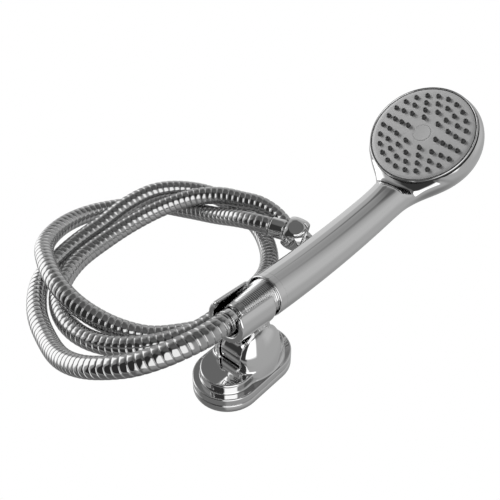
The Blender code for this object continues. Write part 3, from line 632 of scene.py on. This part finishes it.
def build_hose():
    """The hose as one spiral strip: each row of points climbs one pitch while it goes round."""
    line = smooth_route(HOSE_ROUTE, 1.0)
    forward = np.gradient(line, axis=0)
    forward /= np.linalg.norm(forward, axis=1, keepdims=True)
    across = np.empty_like(line)
    across[0] = np.cross(forward[0], (0, 1, 0))
    across[0] /= np.linalg.norm(across[0])
    for k in range(1, len(line)):
        v = across[k - 1] - forward[k] * np.dot(across[k - 1], forward[k])
        across[k] = v / np.linalg.norm(v)
    at = np.concatenate(([0], np.cumsum(np.linalg.norm(np.diff(line, axis=0), axis=1))))
    length = at[-1]
    turns = int(length / HOSE_PITCH)
    pitch = length / turns
    phases = (np.arange(-1, turns + 1)[:, None] + TURN_POINTS).ravel()
    angle = np.arange(HOSE_SIDES) * 2 * math.pi / HOSE_SIDES
    stations = np.clip((phases[:, None] + angle / (2 * math.pi)) * pitch, 0, length)
    radius = np.broadcast_to(hose_profile(np.mod(phases, 1.0))[:, None], stations.shape)
    radius = np.where((stations <= 0) | (stations >= length), HOSE_RADIUS - HOSE_GROOVE, radius)
    flat = stations.ravel()
    centre, fwd, side = (np.stack([np.interp(flat, at, v[:, k]) for k in range(3)], -1)
                         for v in (line, forward, across))
    other = np.cross(fwd, side)
    turn = np.broadcast_to(angle, stations.shape).ravel()[:, None]
    points = centre + radius.ravel()[:, None] * (side * np.cos(turn) + other * np.sin(turn))
    faces = grid_faces(len(phases), HOSE_SIDES, wrap_columns=False)
    rows = np.arange(len(phases) - len(TURN_POINTS) - 1)
    early = rows * HOSE_SIDES + HOSE_SIDES - 1
    later = (rows + len(TURN_POINTS)) * HOSE_SIDES
    seam = np.stack((early, later, later + HOSE_SIDES, early + HOSE_SIDES), -1)
    # The hose takes the darkened chrome, whose low base colour is painted shade
    hose = add_mesh("spiral_hose", points, np.concatenate((faces, seam)), HOSE_CHROME_SHADED, "bracket",
                    sharp=180)
    bm = bmesh.new()
    bm.from_mesh(hose.data)
    bmesh.ops.remove_doubles(bm, verts=bm.verts, dist=0.002 * MM)
    bmesh.ops.holes_fill(bm, edges=[edge for edge in bm.edges if edge.is_boundary])
    bm.to_mesh(hose.data)
    bm.free()
    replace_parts(hose, "hose")
    return hose, line


def nut_radius(radius, height, turn):
    """Barrel-shaped nut with six flats, 24 mm across: only its outside is cut by them."""
    flat = NUT_FLAT / np.cos(np.mod(turn, math.pi / 3) - math.pi / 6)
    return np.where(radius > 10.4, smooth_min(radius, flat + 0 * radius, 0.35), radius)


def build_tap_end():
    ferrule = rounded([(7.2, 11.4), (7.7, 10.8), (7.7, 1.2), (7.4, 0.6), (5.3, 0.6), (5.3, 11.4)], 0.5)
    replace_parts(add_lathe("hose_ferrule", ferrule, TAP_END, CHROME, "bracket", 96, sharp=50),
                "ferrule_end")
    top = rounded([(7.3, -29.9), (7.4, -31.0), (7.4, -33.6), (7.2, -34.1), (5.3, -34.1), (5.3, -29.9)], 0.3)
    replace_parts(add_lathe("hose_ferrule_top", top, HOLD, CHROME, "hose_tail", 96, sharp=50),
                "ferrule_top")
    outside = []
    for k in range(41):
        height = 9.4 - 14.4 * k / 40
        outside.append((13.1 - 0.04 * (height - 2.2) ** 2, height))
    thread = []
    for k in range(60):
        height = -2.2 + 11.2 * k / 59
        thread.append((9.75 + 0.32 * math.cos(2 * math.pi * height / 1.8), height))
    loop = [(10.6, 9.4)] + outside + [(7.3, -5.0), (7.3, -2.4), (9.4, -2.4)] + thread + [(10.1, 9.4)]
    nut = add_lathe("tap_nut", loop, NUT, CHROME, "end_nut", 180, nut_radius, sharp=35)
    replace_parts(nut, "end_nut")
    washer = rounded([(9.3, 4.6), (9.3, 2.6), (5.0, 2.6), (5.0, 4.6)], 0.3)
    ring = add_lathe("nut_washer", washer, NUT, WASHER, "end_nut", 96)
    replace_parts(ring, "end_washer")


# ---------------------------------------------------------------- light, floor and camera

class Graph:
    """A few shader nodes chained by name."""

    def __init__(self, tree):
        self.tree = tree
        tree.nodes.clear()

    def feed(self, node, index, value):
        if hasattr(value, "links"):
            self.tree.links.new(value, node.inputs[index])
        else:
            node.inputs[index].default_value = value

    def math(self, operation, *values, clamp=False):
        node = self.tree.nodes.new("ShaderNodeMath")
        node.operation, node.use_clamp = operation, clamp
        for index, value in enumerate(values):
            self.feed(node, index, value)
        return node.outputs[0]

    def fade(self, distance, half, edge):
        """1 within half of the centre, falling to 0 over the edge."""
        return self.math("DIVIDE", self.math("SUBTRACT", half + edge / 2, distance), edge, clamp=True)

    def mix(self, factor, first, second):
        return self.math("ADD", first, self.math("MULTIPLY", factor, self.math("SUBTRACT", second, first)))


def build_world():
    """White behind everything, and a studio of grey walls and soft boxes in the reflections."""
    world = bpy.data.worlds.new("studio")
    bpy.context.scene.world = world
    world.use_nodes = True
    tree = world.node_tree
    graph = Graph(tree)
    place = tree.nodes.new("ShaderNodeTexCoord")
    split = tree.nodes.new("ShaderNodeSeparateXYZ")
    tree.links.new(place.outputs["Generated"], split.inputs[0])
    azimuth = graph.math("ARCTAN2", split.outputs["X"], split.outputs["Y"])
    elevation = graph.math("ARCSINE", split.outputs["Z"])
    ramp = tree.nodes.new("ShaderNodeValToRGB")
    tree.links.new(graph.math("MULTIPLY_ADD", elevation, 1 / math.pi, 0.5), ramp.inputs[0])
    stops = ramp.color_ramp.elements
    for spare in list(stops)[1:]:
        stops.remove(spare)
    stops[0].position = 0.0
    for k, (degrees, grey) in enumerate(WALLS):
        stop = stops[0] if k == 0 else stops.new(degrees / 180 + 0.5)
        stop.position = degrees / 180 + 0.5
        stop.color = (grey, grey, grey, 1)
    grey = ramp.outputs[0]
    for heading, half_width, height, half_height, edge, value in CARDS:
        across = graph.math("SUBTRACT", azimuth, math.radians(heading))
        across = graph.math("ABSOLUTE", graph.math("WRAP", across, math.pi, -math.pi))
        up = graph.math("ABSOLUTE", graph.math("SUBTRACT", elevation, math.radians(height)))
        edge = math.radians(edge)
        mask = graph.math("MULTIPLY", graph.fade(across, math.radians(half_width), edge),
                          graph.fade(up, math.radians(half_height), edge))
        grey = graph.mix(mask, grey, value)
    soft = tree.nodes.new("ShaderNodeBackground")
    tree.links.new(grey, soft.inputs["Color"])
    white = tree.nodes.new("ShaderNodeBackground")
    white.inputs["Color"].default_value = (1, 1, 1, 1)
    mix = tree.nodes.new("ShaderNodeMixShader")
    ray = tree.nodes.new("ShaderNodeLightPath")
    output = tree.nodes.new("ShaderNodeOutputWorld")
    tree.links.new(ray.outputs["Is Camera Ray"], mix.inputs[0])
    tree.links.new(soft.outputs[0], mix.inputs[1])
    tree.links.new(white.outputs[0], mix.inputs[2])
    tree.links.new(mix.outputs[0], output.inputs[0])


def build_floor():
    """Plain white floor, evenly bright and not mirrored in the chrome."""
    material = bpy.data.materials.new("floor_white")
    material.use_nodes = True
    shader = material.node_tree.nodes["Principled BSDF"]
    shader.inputs["Base Color"].default_value = (0, 0, 0, 1)
    shader.inputs["Specular IOR Level"].default_value = 0
    shader.inputs["Emission Color"].default_value = (1, 1, 1, 1)
    shader.inputs["Emission Strength"].default_value = 1
    mesh = bpy.data.meshes.new("floor")
    mesh.from_pydata([(x * FLOOR_HALF, y * FLOOR_HALF, FLOOR_LEVEL * MM)
                      for x, y in ((-1, -1), (1, -1), (1, 1), (-1, 1))], [], [(0, 1, 2, 3)])
    mesh.materials.append(material)
    floor = bpy.data.objects.new("floor", mesh)
    floor.visible_glossy = floor.visible_diffuse = floor.visible_shadow = False
    bpy.context.scene.collection.objects.link(floor)


def build_panel(name, centre, target, width, height, strength):
    """Soft light panel that faces the target and isn't mirrored in the chrome."""
    light = bpy.data.lights.new(name, "AREA")
    light.shape = "RECTANGLE"
    light.size, light.size_y = width * MM, height * MM
    light.energy = strength
    obj = bpy.data.objects.new(name, light)
    obj.location = Vector(centre) * MM
    obj.rotation_mode = "QUATERNION"
    obj.rotation_quaternion = (Vector(centre) - Vector(target)).to_track_quat("Z", "Y")
    obj.visible_glossy = False
    bpy.context.scene.collection.objects.link(obj)


def build_camera():
    """View from the bracket's end, turned from +Y towards +X and looking down."""
    camera = bpy.data.cameras.new("camera")
    camera.sensor_width = 36
    camera.lens = 50.4
    camera.shift_x, camera.shift_y = -0.001, 0.0014
    obj = bpy.data.objects.new("camera", camera)
    heading, fall = math.radians(48.36), math.radians(39.0)
    right = Vector((math.cos(heading), -math.sin(heading), 0))
    level = Vector((math.sin(heading), math.cos(heading), 0))
    forward = level * math.cos(fall) - Vector((0, 0, 1)) * math.sin(fall)
    up = right.cross(forward)
    obj.matrix_world = (Matrix.Translation(Vector((-222.1, -204.1, 344.6)) * MM)
                        @ Matrix((right, up, -forward)).transposed().to_4x4())
    camera.clip_start, camera.clip_end = 0.01, 20
    bpy.context.scene.collection.objects.link(obj)
    bpy.context.scene.camera = obj


def corners(pair):
    """A box as plain lists of numbers."""
    return [[float(v) for v in corner] for corner in pair]


def finish_inner_parts(nodes):
    """The CAD parts that stay take the finish of their slot."""
    for obj in nodes.values():
        for place in obj.material_slots:
            place.material = SLOT_FINISHES[place.material.name]


def main():
    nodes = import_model()["nodes"]
    finish_inner_parts(nodes)
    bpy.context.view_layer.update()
    build_handset()
    build_spray_face()
    build_bracket()
    build_cone_nut()
    hose, line = build_hose()
    build_tap_end()
    build_world()
    build_floor()
    build_panel("key", (90, 650, 540), (150, 0, 60), 300, 300, 7)
    build_camera()
    bpy.context.scene.view_settings.view_transform = "Standard"


for leftover in list(bpy.data.objects):
    bpy.data.objects.remove(leftover, do_unlink=True)
main()
